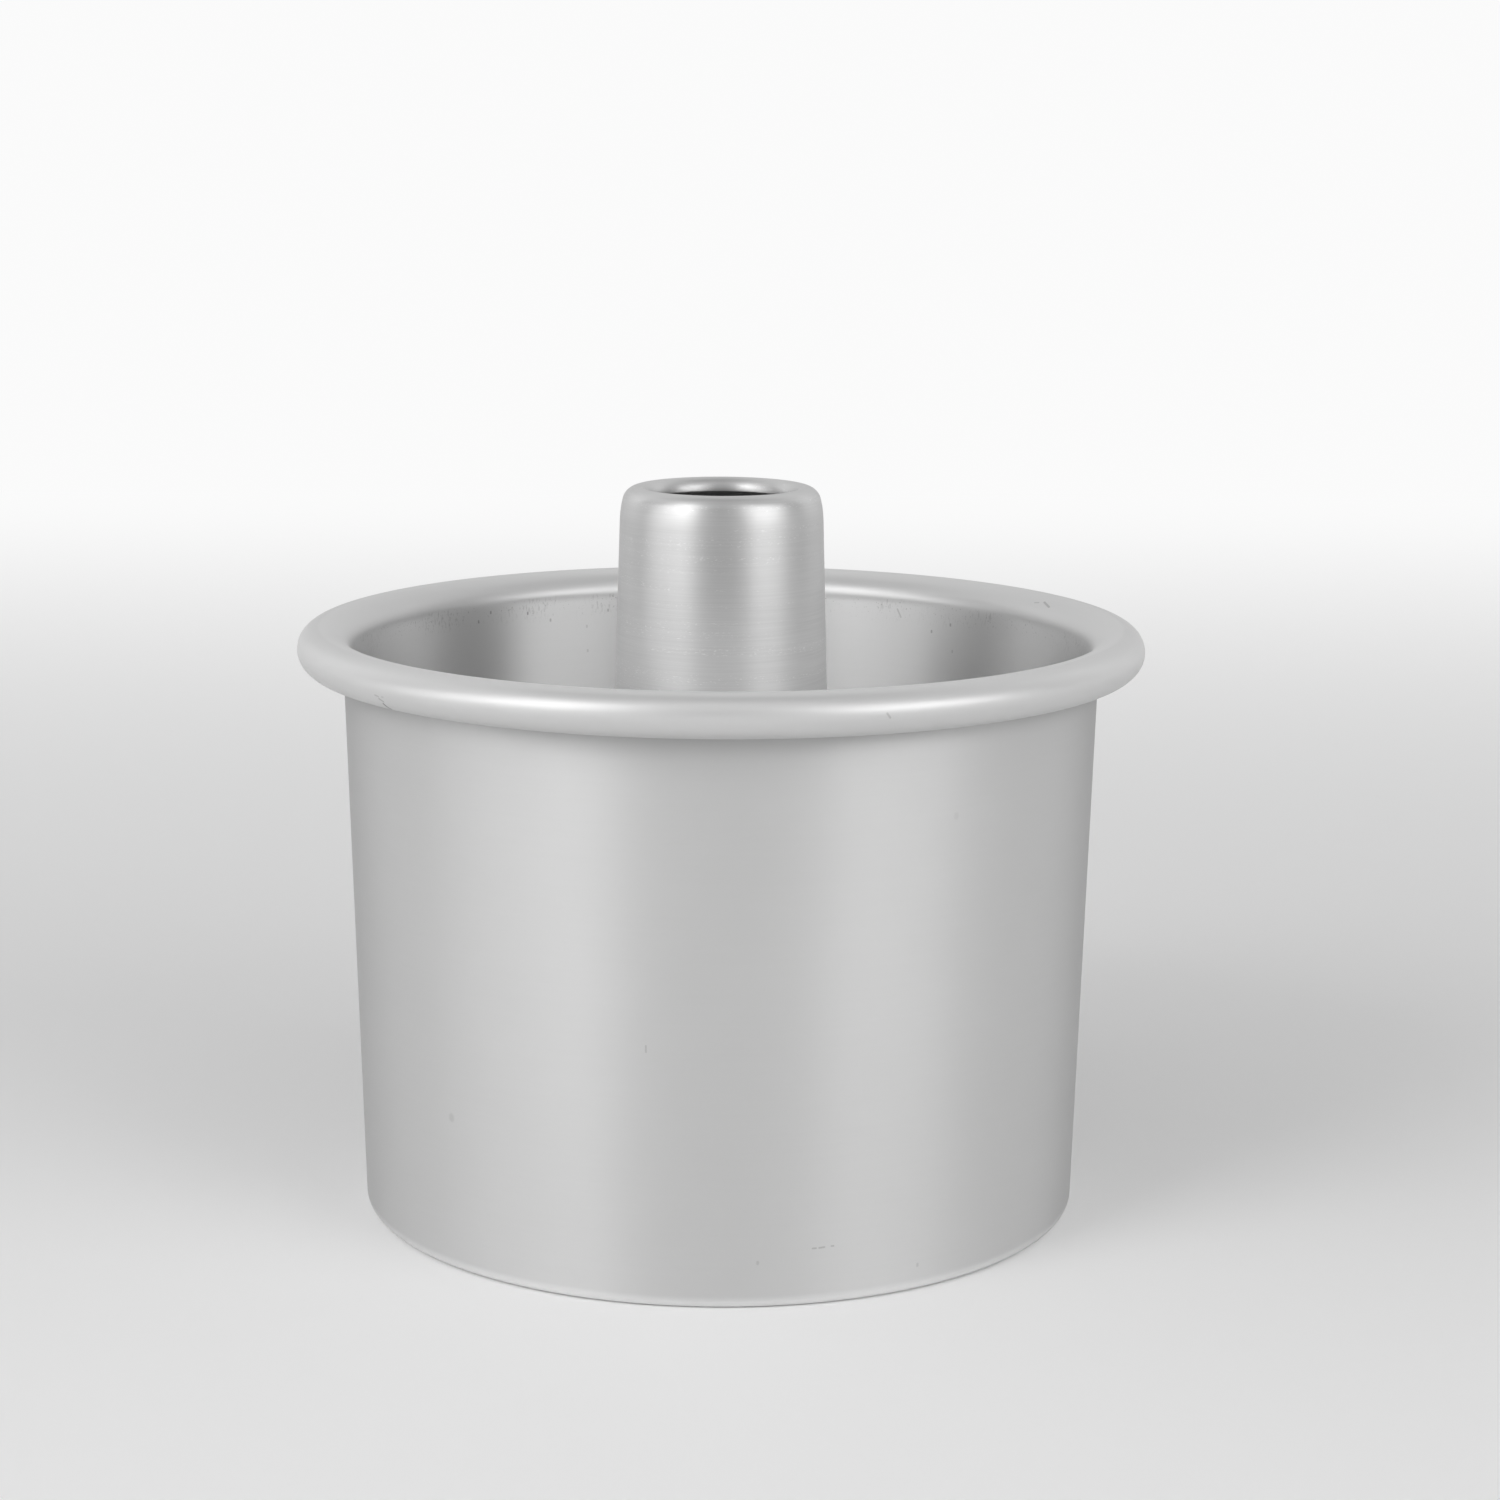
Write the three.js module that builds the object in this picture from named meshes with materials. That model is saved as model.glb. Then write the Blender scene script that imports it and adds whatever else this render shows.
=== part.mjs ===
// Round tube cake pan with a removable bottom, in spun aluminium sheet.
// Millimetres, +Z up, origin on the pan's axis at the level that it stands on.
import * as THREE from 'three';

// Pan wall: a tapered ring with a hollow bead rolled outwards and a ledge turned inwards
const RIM_DIAMETER = 112;
const BASE_DIAMETER = 95.9;
const PAN_HEIGHT = 78.4;
const PAN_SHEET = 1.0;
const BEAD_DIAMETER = 5.6;
const FLARE_RADIUS = 2.8;
const CROWN_DEGREES = 45;
const CURL_GAP = 0.35;
const CURL_CUTBACK_DEGREES = 20;
const FOLD_INSIDE_RADIUS = 0.4;
const LEDGE_WIDTH = 6;

// Base plate: the loose bottom, lying on the ledge
const PLATE_SHEET = 1.0;
const PLATE_CLEARANCE = 0.3;

// Centre tube: a drawn cone with a rolled-in mouth
const TUBE_HEIGHT = 96.48;
const TUBE_SHEET = 0.8;
const TUBE_LEAN_DEGREES = 1.7;
const CREST_DIAMETER = 22.15;
const LIP_RADIUS = 1.65;
const LIP_DEPTH = 0.2;
const SHOULDER_RADIUS = 2.05;
const EASING_RADIUS = 12.6;
const EASING_DEGREES = 12.8;
const FOOT_INSIDE_RADIUS = 0.5;

// Crimp: the tube's foot, seated on the plate, passed through it and flared out below
const CRIMP_SEAT_WIDTH = 1.2;
const CRIMP_CLEARANCE = 0.3;
const CRIMP_FLANGE_WIDTH = 2.4;

// Facets of the round stretches
const PAN_SEGMENTS = 60;
const TUBE_SEGMENTS = 40;
const STEP_DEGREES = 22.5;

// Finishes
const SATIN = { color: 0xcbccca, roughness: 0.42, metalness: 1 };
const SATIN_INSIDE = { color: 0xc6c7c6, roughness: 0.45, metalness: 1 };
const BRUSHED = { color: 0xc2c3c2, roughness: 0.36, metalness: 1 };

const { degToRad } = THREE.MathUtils;
const RIGHT_ANGLE = Math.PI / 2;

// The course of a sheet in the half-plane of radius and height, drawn along its left-hand face.
// The sheet's thickness lies on the right of the course.
class SheetLine {
  constructor(radius, height, heading) {
    this.at = new THREE.Vector2(radius, height);
    this.heading = heading;
    this.stations = [];
    this.mark();
  }

  left() {
    return new THREE.Vector2(-Math.sin(this.heading), Math.cos(this.heading));
  }

  mark() {
    this.stations.push({ at: this.at.clone(), left: this.left() });
  }

  straight(length) {
    const ahead = new THREE.Vector2(Math.cos(this.heading), Math.sin(this.heading));
    this.at.addScaledVector(ahead, length);
    this.mark();
    return this;
  }

  // Turns by an angle, positive to the left, with the given radius on the left-hand face.
  bend(angle, radius) {
    const side = Math.sign(angle);
    const centre = this.at.clone().addScaledVector(this.left(), side * radius);
    const steps = Math.ceil(Math.abs(angle) / degToRad(STEP_DEGREES));
    for (let step = 0; step < steps; step += 1) {
      this.heading += angle / steps;
      this.at.copy(centre).addScaledVector(this.left(), -side * radius);
      this.mark();
    }
    return this;
  }

  // The closed outline of the sheet at its thickness.
  outline(thickness) {
    const rightFace = this.stations.map(({ at, left }) => at.clone().addScaledVector(left, -thickness));
    const leftFace = this.stations.map(({ at }) => at.clone());
    return [...rightFace, ...leftFace.reverse(), rightFace[0].clone()];
  }
}

// Spins a sheet about the pan's axis into a named piece.
function spun(name, line, thickness, segments, finish) {
  const geometry = new THREE.LatheGeometry(line.outline(thickness), segments);
  geometry.rotateX(RIGHT_ANGLE);
  const mesh = new THREE.Mesh(geometry, new THREE.MeshStandardMaterial(finish));
  mesh.name = name;
  return mesh;
}

// Levels and radii that the pieces share
const foldOutsideRadius = FOLD_INSIDE_RADIUS + PAN_SHEET;
const ledgeOuterRadius = BASE_DIAMETER / 2 - foldOutsideRadius;
const plateUnderside = PAN_SHEET;
const plateTop = plateUnderside + PLATE_SHEET;

// From the ledge's inner edge, up the inside of the wall, over the rim and round the bead.
function wallLine() {
  const beadRadius = BEAD_DIAMETER / 2;
  const crestRadius = RIM_DIAMETER / 2 - beadRadius;

  // The flare turns the wall out, and a wider crown carries it over to the bead, clear of the curl.
  const crownTurn = degToRad(CROWN_DEGREES);
  const rimWidth = beadRadius + CURL_GAP + PAN_SHEET;
  const widening = (rimWidth - FLARE_RADIUS) / Math.sin(crownTurn);
  const crownRadius = FLARE_RADIUS + widening;

  // The wall's outer face touches the fold's circle on one side and the flare's on the other.
  const foldCentre = new THREE.Vector2(ledgeOuterRadius, foldOutsideRadius);
  const crownCentre = new THREE.Vector2(crestRadius, PAN_HEIGHT - crownRadius);
  const towardsFlare = new THREE.Vector2(-Math.sin(crownTurn), Math.cos(crownTurn));
  const flareCentre = crownCentre.clone().addScaledVector(towardsFlare, widening);
  const span = flareCentre.clone().sub(foldCentre);
  const crossing = foldOutsideRadius + FLARE_RADIUS - PAN_SHEET;
  const lean = Math.atan2(span.x, span.y) - Math.asin(crossing / span.length());
  const wallLength = Math.sqrt(span.lengthSq() - crossing ** 2);

  const flareTurn = RIGHT_ANGLE - lean - crownTurn;
  const lastQuarter = RIGHT_ANGLE - degToRad(CURL_CUTBACK_DEGREES);
  return new SheetLine(ledgeOuterRadius - LEDGE_WIDTH, plateUnderside, 0)
    .straight(LEDGE_WIDTH)
    .bend(RIGHT_ANGLE - lean, FOLD_INSIDE_RADIUS)
    .straight(wallLength)
    .bend(-flareTurn, FLARE_RADIUS)
    .bend(-crownTurn, crownRadius)
    .bend(-RIGHT_ANGLE, beadRadius)
    .bend(-RIGHT_ANGLE, beadRadius)
    .bend(-lastQuarter, beadRadius);
}

// From the lip inside the mouth, over the crest and down the tube's side to the plate's top.
function tubeLine() {
  const lean = degToRad(TUBE_LEAN_DEGREES);
  const easing = degToRad(EASING_DEGREES);
  const boreRadius = CREST_DIAMETER / 2 - LIP_RADIUS;
  const lipEdge = TUBE_HEIGHT - LIP_RADIUS - LIP_DEPTH;
  const line = new SheetLine(boreRadius, lipEdge, RIGHT_ANGLE)
    .straight(LIP_DEPTH)
    .bend(-RIGHT_ANGLE, LIP_RADIUS)
    .bend(lean + easing - RIGHT_ANGLE, SHOULDER_RADIUS)
    .bend(-easing, EASING_RADIUS);

  const footRadius = FOOT_INSIDE_RADIUS + TUBE_SHEET;
  const drop = line.at.y - plateTop - footRadius * (1 + Math.sin(lean));
  return line.straight(drop / Math.cos(lean)).bend(-RIGHT_ANGLE - lean, footRadius);
}

// Carries the tube's foot in over the plate, down through its hole and out along its underside.
function crimp(line) {
  const bendRadius = Math.min(CRIMP_CLEARANCE, PLATE_SHEET / 2);
  return line
    .straight(CRIMP_SEAT_WIDTH + CRIMP_CLEARANCE - bendRadius)
    .bend(RIGHT_ANGLE, bendRadius)
    .straight(PLATE_SHEET - 2 * bendRadius)
    .bend(RIGHT_ANGLE, bendRadius)
    .straight(CRIMP_FLANGE_WIDTH);
}

// A flat disc from the tube's hole to the ledge.
function plateLine(holeRadius) {
  const edgeRadius = ledgeOuterRadius - PLATE_CLEARANCE;
  return new SheetLine(holeRadius, plateTop, 0).straight(edgeRadius - holeRadius);
}

const tube = tubeLine();
const plate = plateLine(tube.at.x - CRIMP_SEAT_WIDTH);

const part = new THREE.Group();
part.add(
  spun('pan_wall', wallLine(), PAN_SHEET, PAN_SEGMENTS, SATIN),
  spun('base_plate', plate, PLATE_SHEET, PAN_SEGMENTS, SATIN_INSIDE),
  spun('centre_tube', crimp(tube), TUBE_SHEET, TUBE_SEGMENTS, BRUSHED),
);

export default part;
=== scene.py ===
"""Looks of a round tube cake pan: a tapered ring with a rolled rim, and a loose bottom with a centre tube.

Metres, +Z up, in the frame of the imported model. Every piece is a spun or drawn sheet, round about +Z.
"""

import logging
import math
from dataclasses import dataclass, field, replace
from enum import Enum
from typing import Any, ClassVar, Union

import bpy
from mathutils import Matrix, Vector


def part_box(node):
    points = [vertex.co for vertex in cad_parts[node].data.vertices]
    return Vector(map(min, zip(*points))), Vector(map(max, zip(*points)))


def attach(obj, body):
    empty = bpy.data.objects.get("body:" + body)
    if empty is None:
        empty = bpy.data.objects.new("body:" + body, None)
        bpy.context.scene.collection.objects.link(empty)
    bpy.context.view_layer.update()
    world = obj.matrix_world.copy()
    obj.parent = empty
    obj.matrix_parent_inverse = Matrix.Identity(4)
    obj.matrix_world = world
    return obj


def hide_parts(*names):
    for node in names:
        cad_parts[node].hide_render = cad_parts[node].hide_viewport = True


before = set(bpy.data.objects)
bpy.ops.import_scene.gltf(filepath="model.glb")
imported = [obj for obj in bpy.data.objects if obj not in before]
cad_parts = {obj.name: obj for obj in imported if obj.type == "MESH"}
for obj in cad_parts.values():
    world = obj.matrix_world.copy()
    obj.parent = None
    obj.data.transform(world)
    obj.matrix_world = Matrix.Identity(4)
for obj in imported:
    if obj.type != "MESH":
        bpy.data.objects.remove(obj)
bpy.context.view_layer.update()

LOG = logging.getLogger("tube_pan")
MM = 0.001
QUARTER_TURN = math.pi / 2

# The value that soft clouds and fine lines vary about
CLOUD_MIDDLE = 0.5

Colour = tuple[float, float, float, float]
Number = Union["Term", float]


def grey(level: float) -> Colour:
    """Gives a grey of a linear level."""
    return (level, level, level, 1.0)


class Term:
    """A value in a shader, on which Python's operators add Math nodes."""

    def __init__(self, graph: "Graph", socket: bpy.types.NodeSocket) -> None:
        """Wraps an output socket of a graph."""
        self.graph = graph
        self.socket = socket

    def __add__(self, other: Number) -> "Term":
        """Adds a value."""
        return self.graph.math("ADD", self, other)

    def __radd__(self, other: Number) -> "Term":
        """Adds this to a value."""
        return self.graph.math("ADD", other, self)

    def __sub__(self, other: Number) -> "Term":
        """Takes a value away."""
        return self.graph.math("SUBTRACT", self, other)

    def __rsub__(self, other: Number) -> "Term":
        """Takes this away from a value."""
        return self.graph.math("SUBTRACT", other, self)

    def __mul__(self, other: Number) -> "Term":
        """Multiplies by a value."""
        return self.graph.math("MULTIPLY", self, other)

    def __rmul__(self, other: Number) -> "Term":
        """Multiplies a value by this."""
        return self.graph.math("MULTIPLY", other, self)

    def ramp(self, start: float, end: float) -> "Term":
        """Eases from 0 at the start to 1 at the end, also where the end is the lower one.

        Args:
            start: the value that gives 0.
            end: the value that gives 1.

        Returns:
            The eased share.
        """
        low, high = min(start, end), max(start, end)
        node = self.graph.add(
            "ShaderNodeMapRange",
            {"interpolation_type": "SMOOTHSTEP"},
            {"Value": self, "From Min": low, "From Max": high},
        )
        share = Term(self.graph, node.outputs["Result"])
        return share if end > start else 1 - share


class Graph:
    """The nodes of one material, of the floor or of the world."""

    def __init__(self, tree: bpy.types.NodeTree) -> None:
        """Empties a node tree, to build it anew."""
        self.tree = tree
        tree.nodes.clear()

    def add(self, kind: str, settings: dict[str, Any], sockets: dict[Any, Any]) -> bpy.types.Node:
        """Adds a node.

        Args:
            kind: the node's type.
            settings: the node's own settings, which are set first.
            sockets: values, terms or output sockets by the name or number of the node's input.

        Returns:
            The new node.
        """
        node = self.tree.nodes.new(kind)
        for setting, value in settings.items():
            setattr(node, setting, value)
        for key, value in sockets.items():
            source = value.socket if isinstance(value, Term) else value
            if isinstance(source, bpy.types.NodeSocket):
                self.tree.links.new(source, node.inputs[key])
            else:
                node.inputs[key].default_value = source
        return node

    def math(self, operation: str, first: Number, second: Number) -> Term:
        """Joins two values by a Math node."""
        node = self.add("ShaderNodeMath", {"operation": operation}, {0: first, 1: second})
        return Term(self, node.outputs[0])

    def vector(self, operation: str, output: str, *sockets: Any) -> bpy.types.NodeSocket:
        """Joins vectors by a Vector Math node and gives its named output."""
        node = self.add("ShaderNodeVectorMath", {"operation": operation}, dict(enumerate(sockets)))
        return node.outputs[output]

    def mix(self, share: Number, first: Any, second: Any) -> bpy.types.NodeSocket:
        """Mixes two colours, from the first at 0 to the second at 1."""
        # A Mix node's colour sockets are told by number, because other sockets bear the same names.
        colour_inputs = {0: share, 6: first, 7: second}
        return self.add("ShaderNodeMix", {"data_type": "RGBA"}, colour_inputs).outputs[2]

    def noise(self, place: bpy.types.NodeSocket, scale: float, detail: float = 2.0) -> Term:
        """Gives a cloudy value about 0.5, with spots about 1 / scale wide."""
        sockets = {"Vector": place, "Scale": scale, "Detail": detail}
        return Term(self, self.add("ShaderNodeTexNoise", {}, sockets).outputs["Fac"])

    def distance(self, place: bpy.types.NodeSocket, start: Vector, end: Vector) -> Term:
        """Measures how far the surface lies from a straight stretch.

        Args:
            place: the place on the piece.
            start: one end of the stretch.
            end: its other end.

        Returns:
            The distance.
        """
        along = end - start
        offset = self.vector("SUBTRACT", "Vector", place, start)
        share = self.vector("DOT_PRODUCT", "Value", offset, along / along.length_squared)
        held = self.add("ShaderNodeClamp", {}, {"Value": share}).outputs[0]
        nearest = self.add("ShaderNodeVectorMath", {"operation": "SCALE"}, {0: along, "Scale": held})
        return Term(self, self.vector("DISTANCE", "Value", offset, nearest.outputs[0]))


class Lines(Enum):
    """How the fine tool lines of a finish run round the axis."""

    UP_THE_SIDE = "rings stacked along the axis"
    ACROSS_A_DISC = "rings about the axis on a flat disc"


class Skin:
    """The places on a metal skin that its finish is worked out from.

    Attributes:
        graph: the material's nodes.
        place: the place on the piece, in metres.
        height: the level on the piece.
        radius: the distance from the axis.
        inside: 1 on a face turned to the axis, 0 on one turned away.
    """

    # Radius times the cosine of a face's turn from outwards, at which all of it counts as outside
    TURNED = 5 * MM

    def __init__(self, graph: Graph) -> None:
        """Reads the place and the way that the skin faces there.

        Args:
            graph: the material's nodes.
        """
        here = graph.add("ShaderNodeTexCoord", {}, {})
        self.graph = graph
        self.place = here.outputs["Object"]
        across = graph.vector("MULTIPLY", "Vector", self.place, (1, 1, 0))
        outwards = graph.vector("DOT_PRODUCT", "Value", here.outputs["Normal"], across)
        parts = graph.add("ShaderNodeSeparateXYZ", {}, {"Vector": self.place})
        self.height = Term(graph, parts.outputs["Z"])
        self.radius = Term(graph, graph.vector("LENGTH", "Value", across))
        self.inside = Term(graph, outwards).ramp(self.TURNED, -self.TURNED)

    def spots(self, width: float, height: float) -> Term:
        """Gives a cloudy value about 0.5, with spots of a width round the axis and a height along it."""
        stretch = (1 / width, 1 / width, 1 / height)
        return self.graph.noise(self.graph.vector("MULTIPLY", "Vector", self.place, stretch), 1.0)

    def rings(self, lines: Lines, pitch: float, length: float) -> Term:
        """Gives the pattern of fine lines round the axis, about 0.5.

        Args:
            lines: how the lines run.
            pitch: width of a line.
            length: how far a line runs before it fades.

        Returns:
            The pattern.
        """
        if lines is Lines.UP_THE_SIDE:
            return self.spots(length, pitch)
        flat = self.graph.vector("MULTIPLY", "Vector", self.place, (1 / length, 1 / length, 0))
        step = self.graph.add("ShaderNodeCombineXYZ", {}, {"Z": self.radius * (1 / pitch)})
        return self.graph.noise(self.graph.vector("ADD", "Vector", flat, step.outputs[0]), 1.0)


@dataclass(frozen=True)
class Spots:
    """Scattered spots, cut out of soft clouds.

    Attributes:
        width: of a spot, round the axis.
        height: of a spot, along the axis.
        start: the clouds' value at which a spot starts, higher for fewer spots.
        full: the clouds' value at which it is full.
    """

    width: float
    height: float
    start: float
    full: float

    def share(self, skin: Skin) -> Term:
        """Gives 1 in the spots and 0 between them."""
        return skin.spots(self.width, self.height).ramp(self.start, self.full)


@dataclass(frozen=True)
class Mark:
    """A speck, a scratch or a nick in the metal.

    Attributes:
        start: one end, on the piece.
        end: the other end.
        width: across.
        change: how far it changes the metal's lightness, below 0 for a dark one.
    """

    start: Vector
    end: Vector
    width: float
    change: float

    # Distances from a mark's line at which it starts and is full, as shares of its width
    START: ClassVar[float] = 0.75
    FULL: ClassVar[float] = 0.25

    def shade(self, skin: Skin) -> Term:
        """Gives the change of lightness, which is 0 away from the mark."""
        gap = skin.graph.distance(skin.place, self.start, self.end)
        return gap.ramp(self.width * self.START, self.width * self.FULL) * self.change


@dataclass(frozen=True, kw_only=True)
class Sheen:
    """How a stretch of metal reflects.

    Attributes:
        roughness: how soft its reflections are.
        gleam: the share of it that mirrors, where the rest is matte.
        draw: how far its fine lines draw out a reflection across them.
        edge: how much of its reflection is left where it is seen edge-on.
    """

    roughness: float
    gleam: float
    draw: float
    edge: float


@dataclass(frozen=True, kw_only=True)
class AluminiumFinish:
    """An anodised aluminium skin with fine lines round the axis.

    Attributes:
        slot: the record's material slot.
        level: how light the metal is, linear.
        sheen: how it reflects.
        lines: how the lines run.
        line_pitch: width of a line.
        line_length: how far a line runs.
        line_depth: height of a line.
        line_contrast: how far the lines change the metal's lightness.
        cloud_size: width of the soft clouds in the metal's lightness.
        cloud_contrast: how far the clouds change it.
        marks: the specks and scratches in it.
    """

    slot: str
    level: float
    sheen: Sheen
    lines: Lines = Lines.UP_THE_SIDE
    line_pitch: float
    line_length: float = 18 * MM
    line_depth: float
    line_contrast: float
    cloud_size: float = 14 * MM
    cloud_contrast: float = 0.03
    marks: tuple[Mark, ...] = ()

    # The colour is mixed from black to this many times the metal's lightness, so that the marks and
    # painted light can lighten it
    HEADROOM: ClassVar[float] = 2.0
    # Share of a turn that draws reflections out across the lines
    DRAW_TURN: ClassVar[float] = 0.25

    def wear_and_painted_light(self, skin: Skin) -> Number:
        """Gives how far the marks of use change the metal's lightness; the finishes below also add painted
        light and shade.
        """
        return sum(mark.shade(skin) for mark in self.marks)

    def stretches(self, skin: Skin) -> tuple[tuple[Sheen, Term], ...]:
        """Gives the sheens of other stretches, and the share of each over the piece."""
        return ()

    def material(self) -> bpy.types.Material:
        """Builds the finish's nodes.

        Returns:
            The material.
        """
        material = bpy.data.materials.new(self.slot)
        material.use_nodes = True
        graph = Graph(material.node_tree)
        skin = Skin(graph)
        cloud = skin.spots(self.cloud_size, self.cloud_size) - CLOUD_MIDDLE
        line = skin.rings(self.lines, self.line_pitch, self.line_length) - CLOUD_MIDDLE
        lightness = 1 + cloud * self.cloud_contrast + line * self.line_contrast + self.wear_and_painted_light(skin)
        lightest = grey(self.HEADROOM * self.level)
        colour = graph.mix(lightness * (1 / self.HEADROOM), grey(0.0), lightest)
        bump = graph.add(
            "ShaderNodeBump", {}, {"Strength": 1.0, "Distance": self.line_depth, "Height": line}
        )
        surface = self.metal(graph, self.sheen, colour, line, bump)
        for sheen, share in self.stretches(skin):
            other = self.metal(graph, sheen, colour, line, bump)
            surface = graph.add("ShaderNodeMixShader", {}, {0: share, 1: surface, 2: other}).outputs[0]
        graph.add("ShaderNodeOutputMaterial", {}, {"Surface": surface})
        return material

    def metal(
        self, graph: Graph, sheen: Sheen, colour: bpy.types.NodeSocket, line: Term, bump: bpy.types.Node
    ) -> bpy.types.NodeSocket:
        """Adds the shader of one sheen.

        Args:
            graph: the material's nodes.
            sheen: how the metal reflects.
            colour: its colour over the piece.
            line: the pattern of its lines, about 0.
            bump: the relief of its lines.

        Returns:
            The shader.
        """
        sockets = {
            "Base Color": colour,
            "Metallic": sheen.gleam,
            "Specular IOR Level": 0.0,
            "Specular Tint": grey(sheen.edge),
            "Roughness": line * self.line_contrast + sheen.roughness,
            "Anisotropic": sheen.draw,
            "Anisotropic Rotation": self.DRAW_TURN,
            "Normal": bump.outputs[0],
        }
        return graph.add("ShaderNodeBsdfPrincipled", {}, sockets).outputs[0]


@dataclass(frozen=True, kw_only=True)
class WallFinish(AluminiumFinish):
    """The ring's skin: satin on the wall, smoother on the rolled rim and stained inside, under it, with
    painted shade under the bead and a painted highlight on the fold.

    Attributes:
        inside_sheen: how the wall reflects inside.
        inside_light: how far the metal is lighter there.
        rim_sheen: how the rolled rim reflects.
        rim_from: distance from the axis at which the rim starts.
        rim_to: distance from the axis from which all is rim.
        flare_from: level at which the rim starts inside, at the flare.
        flare_to: level from which all is rim.
        stain_from: level at which the stains inside start.
        stain_to: level at which they are full.
        stain_end: level at which they end, at the flare.
        stain: how dark the stains are.
        drips: the drips among them.
        patches: the patches that the drips gather in.
        specks: the specks among them.
        speck_weight: how much darker a speck is than a drip.
        painted_shade_from: level at which the painted shade starts outside, under the bead.
        painted_shade_to: level at which the painted shade is darkest.
        painted_shade: how far the painted shade darkens there.
        painted_highlight_from: level under which the fold gets a painted highlight.
        painted_highlight_to: level under which the painted highlight is full.
        painted_highlight: how far the painted highlight lightens the fold.
    """

    inside_sheen: Sheen
    inside_light: float = 0.05
    rim_sheen: Sheen
    rim_from: float = 50.4 * MM
    rim_to: float = 52.4 * MM
    flare_from: float = 74.2 * MM
    flare_to: float = 75.2 * MM
    stain_from: float = 71 * MM
    stain_to: float = 74.7 * MM
    stain_end: float = 75.5 * MM
    stain: float = 0.22
    drips: Spots = Spots(0.3 * MM, 0.9 * MM, 0.54, 0.66)
    patches: Spots = Spots(8 * MM, 8 * MM, 0.42, 0.58)
    specks: Spots = Spots(0.3 * MM, 0.3 * MM, 0.64, 0.72)
    speck_weight: float = 1.5
    # Painted shade on the outside of the wall, under the bead
    painted_shade_from: float = 69 * MM
    painted_shade_to: float = 73 * MM
    painted_shade: float = 0.16
    # A painted highlight on the fold at the foot, standing in for the floor's reflection
    painted_highlight_from: float = 1.8 * MM
    painted_highlight_to: float = 0.6 * MM
    painted_highlight: float = 0.3

    def stretches(self, skin: Skin) -> tuple[tuple[Sheen, Term], ...]:
        """Gives the sheens inside and on the rim, and where they hold."""
        return (self.inside_sheen, skin.inside), (self.rim_sheen, self.rim(skin))

    def rim(self, skin: Skin) -> Term:
        """Tells the rolled rim from the wall.

        Args:
            skin: the places on the ring.

        Returns:
            A share, 1 on the rim and 0 on the wall.
        """
        within = skin.radius.ramp(self.rim_to, self.rim_from)
        under = skin.height.ramp(self.flare_to, self.flare_from)
        return 1 - within * under

    def wear_and_painted_light(self, skin: Skin) -> Number:
        """Adds stains inside, the lighter inside, painted shade under the bead and a painted highlight on
        the fold to the marks.

        Args:
            skin: the places on the ring.

        Returns:
            How far all this changes the metal's lightness.
        """
        outside = (1 - skin.inside) * (1 - self.rim(skin))
        # Painted shade under the bead, and a painted highlight on the fold at the foot
        painted_shade = skin.height.ramp(self.painted_shade_from, self.painted_shade_to) * self.painted_shade
        painted_highlight = skin.height.ramp(self.painted_highlight_from, self.painted_highlight_to) * self.painted_highlight
        inside = skin.inside * self.inside_light
        return super().wear_and_painted_light(skin) + inside + (painted_highlight - painted_shade) * outside - self.stains(skin)

    def stains(self, skin: Skin) -> Term:
        """Scatters fine dark drips and specks in a band inside, under the rim.

        Args:
            skin: the places on the ring.

        Returns:
            How far they darken the metal.
        """
        rising = skin.height.ramp(self.stain_from, self.stain_to)
        band = rising * skin.height.ramp(self.stain_end, self.stain_to) * skin.inside
        drips = self.drips.share(skin) * self.patches.share(skin)
        specks = self.specks.share(skin) * self.speck_weight
        return (drips + specks) * band * self.stain


@dataclass(frozen=True, kw_only=True)
class TubeFinish(AluminiumFinish):
    """The tube's skin: brushed round it, with rows of short strokes partly lightened as a painted glint,
    matte and painted lighter low down, and painted shade in its bore.

    Attributes:
        low_sheen: how the tube reflects low down.
        low_from: level at which that stretch starts.
        low_to: level from which all is matte.
        painted_light_low: how far the metal is painted lighter there, as painted light.
        rows: the rows that the strokes lie in.
        strokes: the strokes.
        stroke_and_painted_glint: how far the strokes lighten the metal, partly real scratches and partly a
            painted glint.
        bore_top: level at which the painted shade starts inside the tube.
        bore_full: level from which the painted shade is full.
        painted_bore_shade: how far the painted shade darkens the bore.
    """

    low_sheen: Sheen
    low_from: float = 92 * MM
    low_to: float = 74 * MM
    # Painted light: the lower tube is made lighter
    painted_light_low: float = 0.25
    rows: Spots = Spots(90 * MM, 2.0 * MM, 0.5, 0.6)
    strokes: Spots = Spots(0.5 * MM, 0.14 * MM, 0.6, 0.7)
    stroke_and_painted_glint: float = 0.24
    # Painted shade inside the bore, below the mouth
    bore_top: float = 94.4 * MM
    bore_full: float = 93.4 * MM
    painted_bore_shade: float = 0.35

    def low(self, skin: Skin) -> Term:
        """Gives 1 low on the tube and 0 at its mouth."""
        return skin.height.ramp(self.low_from, self.low_to)

    def stretches(self, skin: Skin) -> tuple[tuple[Sheen, Term], ...]:
        """Gives the sheen low on the tube, and where it holds."""
        return ((self.low_sheen, self.low(skin)),)

    def wear_and_painted_light(self, skin: Skin) -> Number:
        """Adds the rows of strokes with a painted glint, painted light low on the tube and painted shade
        in the bore to the marks.

        Args:
            skin: the places on the tube.

        Returns:
            How far all this changes the metal's lightness.
        """
        # The strokes' lightness is partly a painted glint; the low stretch is painted lighter and the bore
        # painted darker
        strokes = self.rows.share(skin) * self.strokes.share(skin) * self.stroke_and_painted_glint
        bore = skin.inside * skin.height.ramp(self.bore_top, self.bore_full)
        light = self.low(skin) * self.painted_light_low
        return super().wear_and_painted_light(skin) + strokes + light - bore * self.painted_bore_shade


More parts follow.
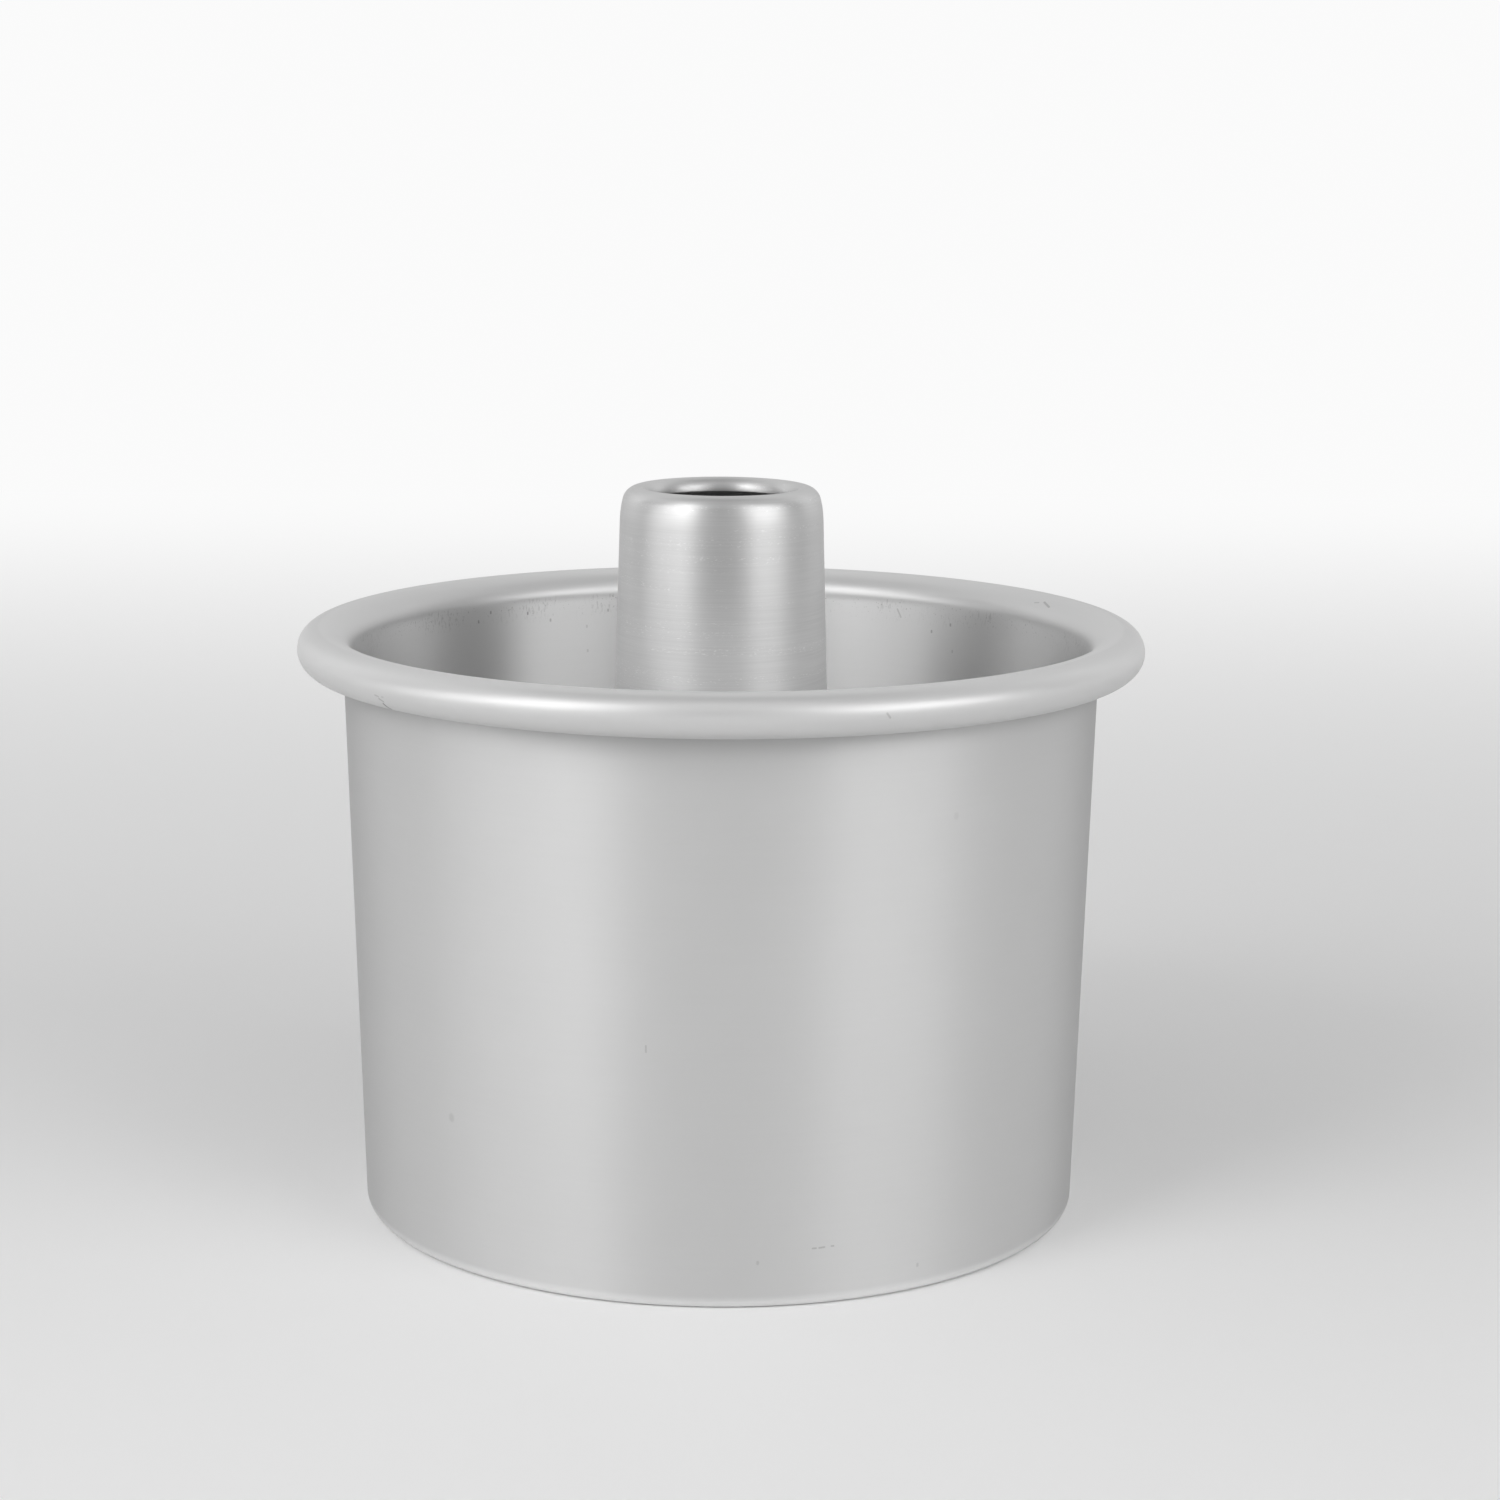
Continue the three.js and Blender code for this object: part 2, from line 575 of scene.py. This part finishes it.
class SheetPen:
    """Draws the course of a sheet in edit mode and spins it into a round piece.

    The course runs in the half-plane of radius (X) and height (Z), along the sheet's left-hand face.
    The sheet's thickness lies on the right of it.
    """

    POINT = 0.1 * MM
    ARC_STEP = math.radians(6)
    MERGE_GAP = 0.001 * MM
    EDGE_ANGLE = math.radians(50)
    SMOOTH_ANGLE = math.radians(40)
    EDGE_SEGMENTS = 3

    def __init__(self, name: str, radius: float, height: float, heading: float = 0.0) -> None:
        """Starts a piece from a small plane that is merged into the course's first point.

        Args:
            name: the piece's name.
            radius: the first point's distance from the axis.
            height: the first point's level.
            heading: the way ahead, 0 outwards and a quarter turn upwards.
        """
        self.at = Vector((radius, 0.0, height))
        self.heading = heading
        self.start, self.start_left = self.at.copy(), self.left()
        bpy.ops.object.select_all(action="DESELECT")
        bpy.ops.mesh.primitive_plane_add(size=self.POINT)
        self.piece = bpy.context.object
        self.piece.name = self.piece.data.name = name
        bpy.ops.object.mode_set(mode="EDIT")
        bpy.ops.mesh.select_all(action="SELECT")
        bpy.ops.mesh.merge(type="CENTER")
        bpy.ops.transform.translate(value=self.at)

    def left(self) -> Vector:
        """Gives the direction to the left of the course."""
        return Vector((-math.sin(self.heading), 0.0, math.cos(self.heading)))

    def straight(self, length: float) -> "SheetPen":
        """Runs straight ahead.

        Args:
            length: how far.

        Returns:
            The pen.
        """
        step = Vector((math.cos(self.heading), 0.0, math.sin(self.heading))) * length
        bpy.ops.mesh.extrude_region_move(TRANSFORM_OT_translate={"value": step})
        self.at += step
        return self

    def bend(self, turn: float, radius: float) -> "SheetPen":
        """Runs round an arc.

        Args:
            turn: the arc's angle, positive to the left.
            radius: the arc's radius on the left-hand face.

        Returns:
            The pen.
        """
        inwards = math.copysign(radius, turn)
        centre = self.at + self.left() * inwards
        steps = math.ceil(abs(turn) / self.ARC_STEP)
        bpy.ops.mesh.spin(steps=steps, angle=turn, center=centre, axis=(0, 1, 0))
        self.heading += turn
        self.at = centre - self.left() * inwards
        return self

    def spin(self, segments: int) -> bpy.types.Object:
        """Spins the course once round the axis, with its faces to the left of it.

        Args:
            segments: the facets round the axis.

        Returns:
            The piece, as a skin with no thickness yet.
        """
        bpy.ops.mesh.select_all(action="SELECT")
        bpy.ops.mesh.spin(steps=segments, angle=math.tau, center=(0, 0, 0), axis=(0, 0, 1))
        bpy.ops.mesh.select_all(action="SELECT")
        bpy.ops.mesh.remove_doubles(threshold=self.MERGE_GAP)
        bpy.ops.mesh.normals_make_consistent(inside=False)
        bpy.ops.object.mode_set(mode="OBJECT")
        first = min(self.piece.data.polygons, key=lambda face: (face.center - self.start).length)
        if first.normal.dot(self.start_left) < 0:
            bpy.ops.object.mode_set(mode="EDIT")
            bpy.ops.mesh.flip_normals()
            bpy.ops.object.mode_set(mode="OBJECT")
        return self.piece

    def sheet(self, thickness: float, edge_round: float, segments: int) -> bpy.types.Object:
        """Spins the course and gives it the sheet's thickness and rounded edges.

        Args:
            thickness: the sheet's thickness.
            edge_round: the rounding of the sheet's cut edges.
            segments: the facets round the axis.

        Returns:
            The finished piece.
        """
        piece = self.spin(segments)
        wall = piece.modifiers.new("thickness", "SOLIDIFY")
        wall.thickness, wall.offset, wall.use_even_offset = thickness, -1.0, True
        bpy.ops.object.modifier_apply(modifier=wall.name)
        edge = piece.modifiers.new("edges", "BEVEL")
        edge.width, edge.segments = edge_round, self.EDGE_SEGMENTS
        edge.limit_method, edge.angle_limit = "ANGLE", self.EDGE_ANGLE
        bpy.ops.object.modifier_apply(modifier=edge.name)
        bpy.ops.object.shade_smooth_by_angle(angle=self.SMOOTH_ANGLE)
        return piece


def about_axis(bearing: float, radius: float, height: float) -> Vector:
    """Gives a point by its bearing in degrees from the front, its distance from the axis and its level."""
    side = math.radians(bearing)
    return Vector((math.sin(side) * radius, -math.cos(side) * radius, height))


def dress(piece: bpy.types.Object, body: str, node: str, finish: AluminiumFinish) -> None:
    """Gives a piece its finish and its place in the frame.

    Args:
        piece: the finished mesh.
        body: the body that it moves with.
        node: the solid that it stands for.
        finish: its finish.
    """
    piece.data.materials.clear()
    piece.data.materials.append(finish.material())
    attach(piece, body)
    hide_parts(node)
    LOG.info("%s rides on %s for %s, %d faces", piece.name, body, node, len(piece.data.polygons))


SATIN_WALL = WallFinish(
    slot="satin_wall",
    level=0.64,
    sheen=Sheen(roughness=0.47, gleam=0.5, draw=0.85, edge=0.25),
    inside_sheen=Sheen(roughness=0.44, gleam=0.86, draw=0.85, edge=1.0),
    rim_sheen=Sheen(roughness=0.43, gleam=0.5, draw=0.0, edge=1.0),
    line_pitch=0.4 * MM,
    line_depth=0.0001 * MM,
    line_contrast=0.02,
)
SATIN_PLATE = AluminiumFinish(
    slot="satin_plate",
    level=0.64,
    sheen=Sheen(roughness=0.44, gleam=0.7, draw=0.8, edge=0.9),
    lines=Lines.ACROSS_A_DISC,
    line_pitch=0.5 * MM,
    line_depth=0.0005 * MM,
    line_contrast=0.04,
)
BRUSHED_TUBE = TubeFinish(
    slot="brushed_tube",
    level=0.615,
    sheen=Sheen(roughness=0.44, gleam=0.87, draw=0.6, edge=0.8),
    low_sheen=Sheen(roughness=0.45, gleam=0.4, draw=0.6, edge=0.8),
    line_pitch=0.24 * MM,
    line_length=12 * MM,
    line_depth=0.0008 * MM,
    line_contrast=0.2,
)


@dataclass(frozen=True)
class WallCourse:
    """What the ring's sizes give for its sheet, seen in section.

    Attributes:
        ledge_edge: radius at which the ledge folds up.
        fold_outside: the fold's outer radius.
        crown_radius: the crown's radius.
        lean: the wall's angle from upright.
        length: the straight wall's length.
    """

    ledge_edge: float
    fold_outside: float
    crown_radius: float
    lean: float
    length: float


@dataclass
class PanRing:
    """The outer ring: a tapered wall with a bead rolled outwards and a ledge turned inwards.

    Attributes:
        sheet: the sheet's thickness.
        base_radius: outer radius at the foot.
        bead_radius: the rolled bead's radius.
        flare_radius: radius at which the wall turns out into the rim.
        crown_turn: how far the crown turns, between the flare and the bead.
        curl_gap: gap between the curl and the wall.
        curl_cutback: how far the curl stops short of a whole last quarter turn.
        fold_radius: inner radius of the fold between the wall and the ledge.
        ledge_width: width of the ledge's flat.
        edge_round: rounding of the cut edges.
        segments: facets round the axis.
        rim_radius: outer radius at the bead.
        height: level of the rim's top.
    """

    sheet: float = 1.0 * MM
    base_radius: float = 47.95 * MM
    bead_radius: float = 2.8 * MM
    flare_radius: float = 2.8 * MM
    crown_turn: float = math.radians(45)
    curl_gap: float = 0.35 * MM
    curl_cutback: float = math.radians(20)
    fold_radius: float = 0.4 * MM
    ledge_width: float = 6.0 * MM
    edge_round: float = 0.15 * MM
    segments: int = 240
    rim_radius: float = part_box("pan_wall")[1].x
    height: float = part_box("pan_wall")[1].z

    # A speck's width, and its ends in millimetres above its level
    SPECK_WIDTH: ClassVar[float] = 0.28 * MM
    SPECK_ENDS: ClassVar[tuple[float, float]] = (-0.1, 0.1)
    # Bearing in degrees, level in millimetres and darkness of each speck inside
    SPECKS_INSIDE: ClassVar[tuple[tuple[float, float, float], ...]] = (
        (137.7, 72.4, 0.38),
        (141.6, 71.1, 0.38),
        (137.1, 68.6, 0.2),
        (-137.5, 73.9, 0.45),
        (-134.8, 72.8, 0.4),
        (-145.1, 73.2, 0.45),
        (-149.5, 71.9, 0.36),
        (-156.3, 70.6, 0.2),
        (-156.4, 67.0, 0.2),
        (-160.2, 72.8, 0.32),
    )

    def course(self) -> WallCourse:
        """Works out how the wall runs from its fold to its flare.

        Returns:
            What the sheet's course needs.
        """
        fold_outside = self.fold_radius + self.sheet
        ledge_edge = self.base_radius - fold_outside

        # A wider crown carries the flare over to the bead, clear of the curl's end.
        rim_width = self.bead_radius + self.curl_gap + self.sheet
        widening = (rim_width - self.flare_radius) / math.sin(self.crown_turn)
        crown_radius = self.flare_radius + widening
        crown_centre = Vector((self.rim_radius - self.bead_radius, self.height - crown_radius))
        towards_flare = Vector((-math.sin(self.crown_turn), math.cos(self.crown_turn)))

        # The wall touches the fold's circle on one side and the flare's on the other.
        span = crown_centre + towards_flare * widening - Vector((ledge_edge, fold_outside))
        crossing = fold_outside + self.flare_radius - self.sheet
        lean = math.atan2(span.x, span.y) - math.asin(crossing / span.length)
        length = math.sqrt(span.length_squared - crossing**2)
        return WallCourse(ledge_edge, fold_outside, crown_radius, lean, length)

    def build(self) -> bpy.types.Object:
        """Models the ring from its ledge, up the inside of the wall, over the rim and round the bead.

        Returns:
            The ring.
        """
        course = self.course()
        pen = SheetPen("spun_wall", course.ledge_edge - self.ledge_width, self.sheet)
        pen.straight(self.ledge_width).bend(QUARTER_TURN - course.lean, self.fold_radius)
        pen.straight(course.length)
        pen.bend(course.lean + self.crown_turn - QUARTER_TURN, self.flare_radius)
        pen.bend(-self.crown_turn, course.crown_radius)
        pen.bend(-QUARTER_TURN, self.bead_radius).bend(-QUARTER_TURN, self.bead_radius)
        pen.bend(self.curl_cutback - QUARTER_TURN, self.bead_radius)
        return pen.sheet(self.sheet, self.edge_round, self.segments)

    def on_wall(self, bearing: float, level: float, depth: float = 0.0) -> Vector:
        """Gives a point of the wall.

        Args:
            bearing: degrees round the axis from the front, positive to the right.
            level: height, in millimetres.
            depth: how deep it lies under the outer face, up to the sheet for the inner one.

        Returns:
            The point.
        """
        course = self.course()
        rise = level * MM - course.fold_outside
        radius = course.ledge_edge + (course.fold_outside - depth) / math.cos(course.lean)
        return about_axis(bearing, radius + rise * math.tan(course.lean), level * MM)

    def on_rim(self, bearing: float, turn: float) -> Vector:
        """Gives a point of the rolled rim.

        Args:
            bearing: degrees round the axis from the front, positive to the right.
            turn: degrees round the bead, 0 at its outer edge, 90 at its top and more on the crown.

        Returns:
            The point.
        """
        way = math.radians(turn)
        rolled = self.bead_radius if way <= QUARTER_TURN else self.course().crown_radius
        radius = self.rim_radius - self.bead_radius + rolled * math.cos(way)
        return about_axis(bearing, radius, self.height - rolled * (1 - math.sin(way)))

    def marks(self) -> tuple[Mark, ...]:
        """Places the few marks of use that show on the wall and the rim.

        Returns:
            The marks.
        """
        wall, rim = self.on_wall, self.on_rim
        return (
            Mark(wall(-44, 20.6), wall(-44, 20.4), 0.9 * MM, -0.12),
            Mark(wall(35.5, 61), wall(35.5, 60.8), 0.7 * MM, -0.06),
            Mark(wall(-10.5, 33.8), wall(-10.5, 33), 0.2 * MM, -0.2),
            Mark(wall(14, 7.6), wall(14.5, 7.6), 0.22 * MM, -0.25),
            Mark(wall(15, 7.6), wall(15.8, 7.65), 0.22 * MM, -0.25),
            Mark(wall(16.9, 7.7), wall(17.2, 7.7), 0.22 * MM, -0.25),
            Mark(wall(5.8, 6.2), wall(5.8, 6.0), 0.35 * MM, -0.15),
            Mark(wall(31.3, 3.6), wall(31.3, 3.4), 0.35 * MM, -0.15),
            Mark(rim(-49.3, -16), rim(-48.6, -18), 0.22 * MM, -0.2),
            Mark(rim(-47.9, -17), rim(-47.6, -17), 0.2 * MM, -0.15),
            Mark(rim(-48.6, -24), rim(-47.9, -31), 0.25 * MM, -0.3),
            Mark(rim(-48.2, -40), rim(-47.8, -62), 0.34 * MM, -0.6),
            Mark(rim(20.5, 4), rim(20.9, -7), 0.25 * MM, -0.25),
            Mark(rim(119.3, 127), rim(118.4, 125), 0.25 * MM, -0.2),
            Mark(rim(117.3, 121), rim(114.8, 129), 0.3 * MM, -0.3),
            Mark(wall(148.5, 73.8, self.sheet), wall(147.8, 72.7, self.sheet), 0.25 * MM, -0.25),
            *(self.speck(*speck) for speck in self.SPECKS_INSIDE),
        )

    def speck(self, bearing: float, level: float, dark: float) -> Mark:
        """Places a speck inside, at a bearing in degrees and a level in millimetres, by how dark it is."""
        low, high = (self.on_wall(bearing, level + up, self.sheet) for up in self.SPECK_ENDS)
        return Mark(low, high, self.SPECK_WIDTH, -dark)

    def make(self) -> None:
        """Builds and dresses the ring."""
        dress(self.build(), "pan_ring", "pan_wall", replace(SATIN_WALL, marks=self.marks()))


@dataclass
class LooseBottom:
    """The loose bottom: a flat plate, and a drawn tube crimped to it.

    Attributes:
        tube_sheet: thickness of the tube's sheet.
        tube_lean: the tube's angle from upright.
        crest_radius: radius of the mouth's highest line.
        lip_radius: radius of the roll inside the crest.
        lip_depth: how far the lip runs down inside the mouth.
        shoulder_radius: radius of the turn outside the crest.
        easing_radius: radius of the easing between the shoulder and the side.
        easing_turn: how far the easing turns.
        foot_inside_radius: inner radius of the turn at the foot.
        seat_width: width of the tube's seat on the plate.
        crimp_radius: radius of the crimp's two bends.
        flange_width: width of the flange under the plate.
        edge_round: rounding of the cut edges.
        plate_segments: facets round the plate.
        tube_segments: facets round the tube.
    """

    tube_sheet: float = 0.8 * MM
    tube_lean: float = math.radians(1.7)
    crest_radius: float = 11.075 * MM
    lip_radius: float = 1.65 * MM
    lip_depth: float = 0.2 * MM
    shoulder_radius: float = 2.05 * MM
    easing_radius: float = 12.6 * MM
    easing_turn: float = math.radians(12.8)
    foot_inside_radius: float = 0.5 * MM
    seat_width: float = 1.2 * MM
    crimp_radius: float = 0.3 * MM
    flange_width: float = 2.4 * MM
    edge_round: float = 0.12 * MM
    plate_segments: int = 240
    tube_segments: int = 180

    def build_tube(self) -> tuple[bpy.types.Object, float]:
        """Models the tube from its lip, over the crest, down the side and through the plate's hole.

        Returns:
            The tube, and the radius of the plate's hole.
        """
        plate_low, plate_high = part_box("base_plate")
        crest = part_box("centre_tube")[1].z
        lip_edge = crest - self.lip_radius - self.lip_depth
        pen = SheetPen("drawn_tube", self.crest_radius - self.lip_radius, lip_edge, QUARTER_TURN)
        pen.straight(self.lip_depth).bend(-QUARTER_TURN, self.lip_radius)
        pen.bend(self.tube_lean + self.easing_turn - QUARTER_TURN, self.shoulder_radius)
        pen.bend(-self.easing_turn, self.easing_radius)

        foot_radius = self.foot_inside_radius + self.tube_sheet
        drop = pen.at.z - plate_high.z - foot_radius * (1 + math.sin(self.tube_lean))
        pen.straight(drop / math.cos(self.tube_lean)).bend(-QUARTER_TURN - self.tube_lean, foot_radius)
        hole_radius = pen.at.x - self.seat_width
        pen.straight(self.seat_width).bend(QUARTER_TURN, self.crimp_radius)
        pen.straight(plate_high.z - plate_low.z - 2 * self.crimp_radius)
        pen.bend(QUARTER_TURN, self.crimp_radius).straight(self.flange_width)
        return pen.sheet(self.tube_sheet, self.edge_round, self.tube_segments), hole_radius

    def build_plate(self, hole_radius: float) -> bpy.types.Object:
        """Models the plate, from its hole out to the ledge.

        Args:
            hole_radius: radius of the hole for the tube.

        Returns:
            The plate.
        """
        low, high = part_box("base_plate")
        pen = SheetPen("bottom_plate", hole_radius, high.z).straight(high.x - hole_radius)
        return pen.sheet(high.z - low.z, self.edge_round, self.plate_segments)

    def make(self) -> None:
        """Builds and dresses the plate and the tube."""
        tube, hole_radius = self.build_tube()
        dress(self.build_plate(hole_radius), "loose_bottom", "base_plate", SATIN_PLATE)
        dress(tube, "loose_bottom", "centre_tube", BRUSHED_TUBE)


@dataclass(frozen=True)
class SoftBox:
    """A soft lamp: where it hangs, seen from what it faces, its size and its power.

    Attributes:
        name: the lamp's name.
        bearing: degrees round the axis from the camera's side, positive to the right.
        rise: degrees above the horizon.
        distance: from what it faces.
        width: across.
        height: up and down.
        power: in watts.
    """

    name: str
    bearing: float
    rise: float
    distance: float
    width: float
    height: float
    power: float

    # The point that every lamp faces, in the middle of the pan
    AIM: ClassVar[Vector] = Vector((0.0, 0.0, 45 * MM))

    def hang(self) -> None:
        """Adds the lamp to the scene, out of the camera's sight."""
        side, up = math.radians(self.bearing), math.radians(self.rise)
        way = Vector((math.sin(side) * math.cos(up), -math.cos(side) * math.cos(up), math.sin(up)))
        bpy.ops.object.light_add(type="AREA", location=self.AIM + way * self.distance)
        lamp = bpy.context.object
        lamp.name = self.name
        lamp.rotation_euler = way.to_track_quat("Z", "Y").to_euler()
        lamp.visible_camera = False
        lamp.data.shape = "RECTANGLE"
        lamp.data.size, lamp.data.size_y = self.width, self.height
        lamp.data.energy = self.power


@dataclass
class Studio:
    """The pale sweep that the pan stands on, its soft lamps and its camera.

    Attributes:
        sweep_width: the sweep's width.
        sweep_front: depth of its front edge.
        sweep_back: depth at which it starts to bend up.
        sweep_bend: radius of the bend.
        sweep_rise: height of the backdrop above the bend.
        bend_steps: facets of the bend.
        sweep_level: how light the sweep is, linear.
        sweep_roughness: how rough it is.
        sweep_gloss: how strongly it reflects.
        backdrop_level: how light it shows where it is plain backdrop, linear.
        backdrop_from: depth behind the pan at which the plain backdrop starts.
        backdrop_to: depth from which all is plain backdrop.
        floor_from: distance from the pan at which it starts on the other sides.
        floor_to: distance from which all is plain backdrop there.
        horizon_from: rise from which the room no longer shows as plain backdrop, in radians.
        horizon_to: rise under which all of it does.
        world_level: how light the room is, linear.
        camera_place: the camera's place.
        camera_pitch: how far it looks down, in radians.
        camera_roll: how far it is turned about its line of sight, in radians.
        camera_lens: its focal length, in millimetres.
        camera_shift: how far its picture is shifted sideways, as a share of it.
        lamps: the soft lamps.
    """

    sweep_width: float = 8.0
    sweep_front: float = -4.0
    sweep_back: float = 0.9
    sweep_bend: float = 0.6
    sweep_rise: float = 3.0
    bend_steps: int = 24
    sweep_level: float = 0.92
    sweep_roughness: float = 0.8
    sweep_gloss: float = 0.2
    backdrop_level: float = 0.96
    backdrop_from: float = 0.0
    backdrop_to: float = 0.8
    floor_from: float = 0.3
    floor_to: float = 1.1
    horizon_from: float = math.radians(8)
    horizon_to: float = 0.0
    world_level: float = 0.33
    camera_place: Vector = field(default_factory=lambda: Vector((0.0, -442.03 * MM, 147.78 * MM)))
    camera_pitch: float = 0.1938
    camera_roll: float = 0.0047
    camera_lens: float = 80.75
    camera_shift: float = 0.0196
    lamps: tuple[SoftBox, ...] = (
        SoftBox("lamp_left", -53, 20, 0.9, 0.64, 0.28, 1.80),
        SoftBox("lamp_left_high", -44, 38, 0.9, 0.34, 0.30, 1.35),
        SoftBox("lamp_right", 53, 20, 0.9, 0.64, 0.28, 2.12),
        SoftBox("lamp_right_high", 38, 36, 0.9, 0.44, 0.30, 0.62),
        SoftBox("lamp_above", 0, 60, 0.9, 0.80, 0.40, 0.48),
        SoftBox("lamp_side_left", -80, 10, 0.9, 0.34, 0.20, 0.38),
        SoftBox("lamp_side_right", 80, 10, 0.9, 0.34, 0.20, 0.07),
        SoftBox("lamp_over_left", -95, 50, 0.9, 0.45, 0.40, 0.22),
        SoftBox("lamp_over_right", 95, 50, 0.9, 0.45, 0.40, 0.16),
        SoftBox("lamp_back_left", -120, 25, 0.8, 0.45, 0.40, 0.19),
        SoftBox("lamp_back_right", 120, 25, 0.8, 0.45, 0.40, 0.12),
    )

    def sweep(self) -> None:
        """Models the pale floor, bent up behind the pan into a backdrop."""
        depth = self.sweep_back - self.sweep_front
        bpy.ops.object.select_all(action="DESELECT")
        bpy.ops.mesh.primitive_plane_add(size=1.0)
        sheet = bpy.context.object
        sheet.name = "floor"
        bpy.ops.object.mode_set(mode="EDIT")
        bpy.ops.transform.resize(value=(self.sweep_width, depth, 1.0))
        bpy.ops.transform.translate(value=(0.0, self.sweep_back - depth / 2, 0.0))
        bpy.ops.mesh.select_all(action="DESELECT")
        bpy.ops.object.mode_set(mode="OBJECT")
        for corner in sheet.data.vertices:
            corner.select = corner.co.y > 0
        bpy.ops.object.mode_set(mode="EDIT")
        bend_centre = (0.0, self.sweep_back, self.sweep_bend)
        bpy.ops.mesh.spin(steps=self.bend_steps, angle=-QUARTER_TURN, center=bend_centre, axis=(1, 0, 0))
        bpy.ops.mesh.extrude_region_move(TRANSFORM_OT_translate={"value": (0.0, 0.0, self.sweep_rise)})
        bpy.ops.object.mode_set(mode="OBJECT")
        bpy.ops.object.shade_smooth()
        sheet.data.materials.append(self.floor_paint())

    def floor_paint(self) -> bpy.types.Material:
        """Builds the sweep's pale paint, which shows as plain backdrop away from the pan.

        Returns:
            The material.
        """
        material = bpy.data.materials.new("pale_floor")
        material.use_nodes = True
        graph = Graph(material.node_tree)
        sockets = {
            "Base Color": grey(self.sweep_level),
            "Roughness": self.sweep_roughness,
            "Specular IOR Level": self.sweep_gloss,
        }
        paint = graph.add("ShaderNodeBsdfPrincipled", {}, sockets).outputs[0]
        plain = graph.add("ShaderNodeEmission", {}, {"Color": grey(self.backdrop_level)}).outputs[0]
        share = self.backdrop_share(graph)
        surface = graph.add("ShaderNodeMixShader", {}, {0: share, 1: paint, 2: plain}).outputs[0]
        graph.add("ShaderNodeOutputMaterial", {}, {"Surface": surface})
        return material

    def seen(self, graph: Graph) -> Term:
        """Tells what is looked at from the light that falls on things.

        Args:
            graph: the nodes of the sweep or of the world.

        Returns:
            1 to the camera and in what metal or glass shows, and 0 to other light.
        """
        path = graph.add("ShaderNodeLightPath", {}, {})
        kinds = ("Camera", "Glossy", "Transmission")
        camera, metal, glass = (Term(graph, path.outputs[f"Is {kind} Ray"]) for kind in kinds)
        return graph.math("MAXIMUM", graph.math("MAXIMUM", camera, metal), glass)

    def backdrop_share(self, graph: Graph) -> Term:
        """Gives how far the sweep is plain backdrop, soon behind the pan and far off on its other sides.

        Args:
            graph: the sweep's nodes.

        Returns:
            The share, from 0 on the floor by the pan to 1 on the backdrop.
        """
        here = graph.add("ShaderNodeTexCoord", {}, {}).outputs["Object"]
        depth = Term(graph, graph.add("ShaderNodeSeparateXYZ", {}, {"Vector": here}).outputs["Y"])
        reach = Term(graph, graph.vector("LENGTH", "Value", here))
        behind = depth.ramp(self.backdrop_from, self.backdrop_to)
        far_off = reach.ramp(self.floor_from, self.floor_to)
        return graph.math("MAXIMUM", behind, far_off) * self.seen(graph)

    def world(self) -> None:
        """Lights the room evenly, and shows it as plain backdrop about the horizon."""
        world = bpy.data.worlds.new("studio")
        world.use_nodes = True
        bpy.context.scene.world = world
        graph = Graph(world.node_tree)
        way = graph.add("ShaderNodeTexCoord", {}, {}).outputs["Generated"]
        rise = Term(graph, graph.add("ShaderNodeSeparateXYZ", {}, {"Vector": way}).outputs["Z"])
        low = rise.ramp(math.sin(self.horizon_from), math.sin(self.horizon_to))
        colour = graph.mix(low * self.seen(graph), grey(self.world_level), grey(self.backdrop_level))
        room = graph.add("ShaderNodeBackground", {}, {"Color": colour}).outputs[0]
        graph.add("ShaderNodeOutputWorld", {}, {"Surface": room})

    def camera(self) -> None:
        """Sets the camera at the photograph's viewing angle."""
        bpy.ops.object.camera_add(location=self.camera_place)
        eye = bpy.context.object
        eye.name = "camera"
        eye.rotation_mode = "ZYX"
        eye.rotation_euler = (QUARTER_TURN - self.camera_pitch, 0.0, self.camera_roll)
        eye.data.lens, eye.data.shift_x = self.camera_lens, self.camera_shift
        bpy.context.scene.camera = eye

    def make(self) -> None:
        """Builds the sweep, the light and the camera."""
        self.sweep()
        self.world()
        for lamp in self.lamps:
            lamp.hang()
        self.camera()
        bpy.context.scene.view_settings.view_transform = "Standard"
        LOG.info("studio with %d lamps", len(self.lamps))


def main() -> None:
    """Builds the studio and the pan's two parts."""
    logging.basicConfig(level=logging.INFO, format="%(name)s: %(message)s")
    for assembly in (Studio(), PanRing(), LooseBottom()):
        assembly.make()


if __name__ == "__main__":
    main()
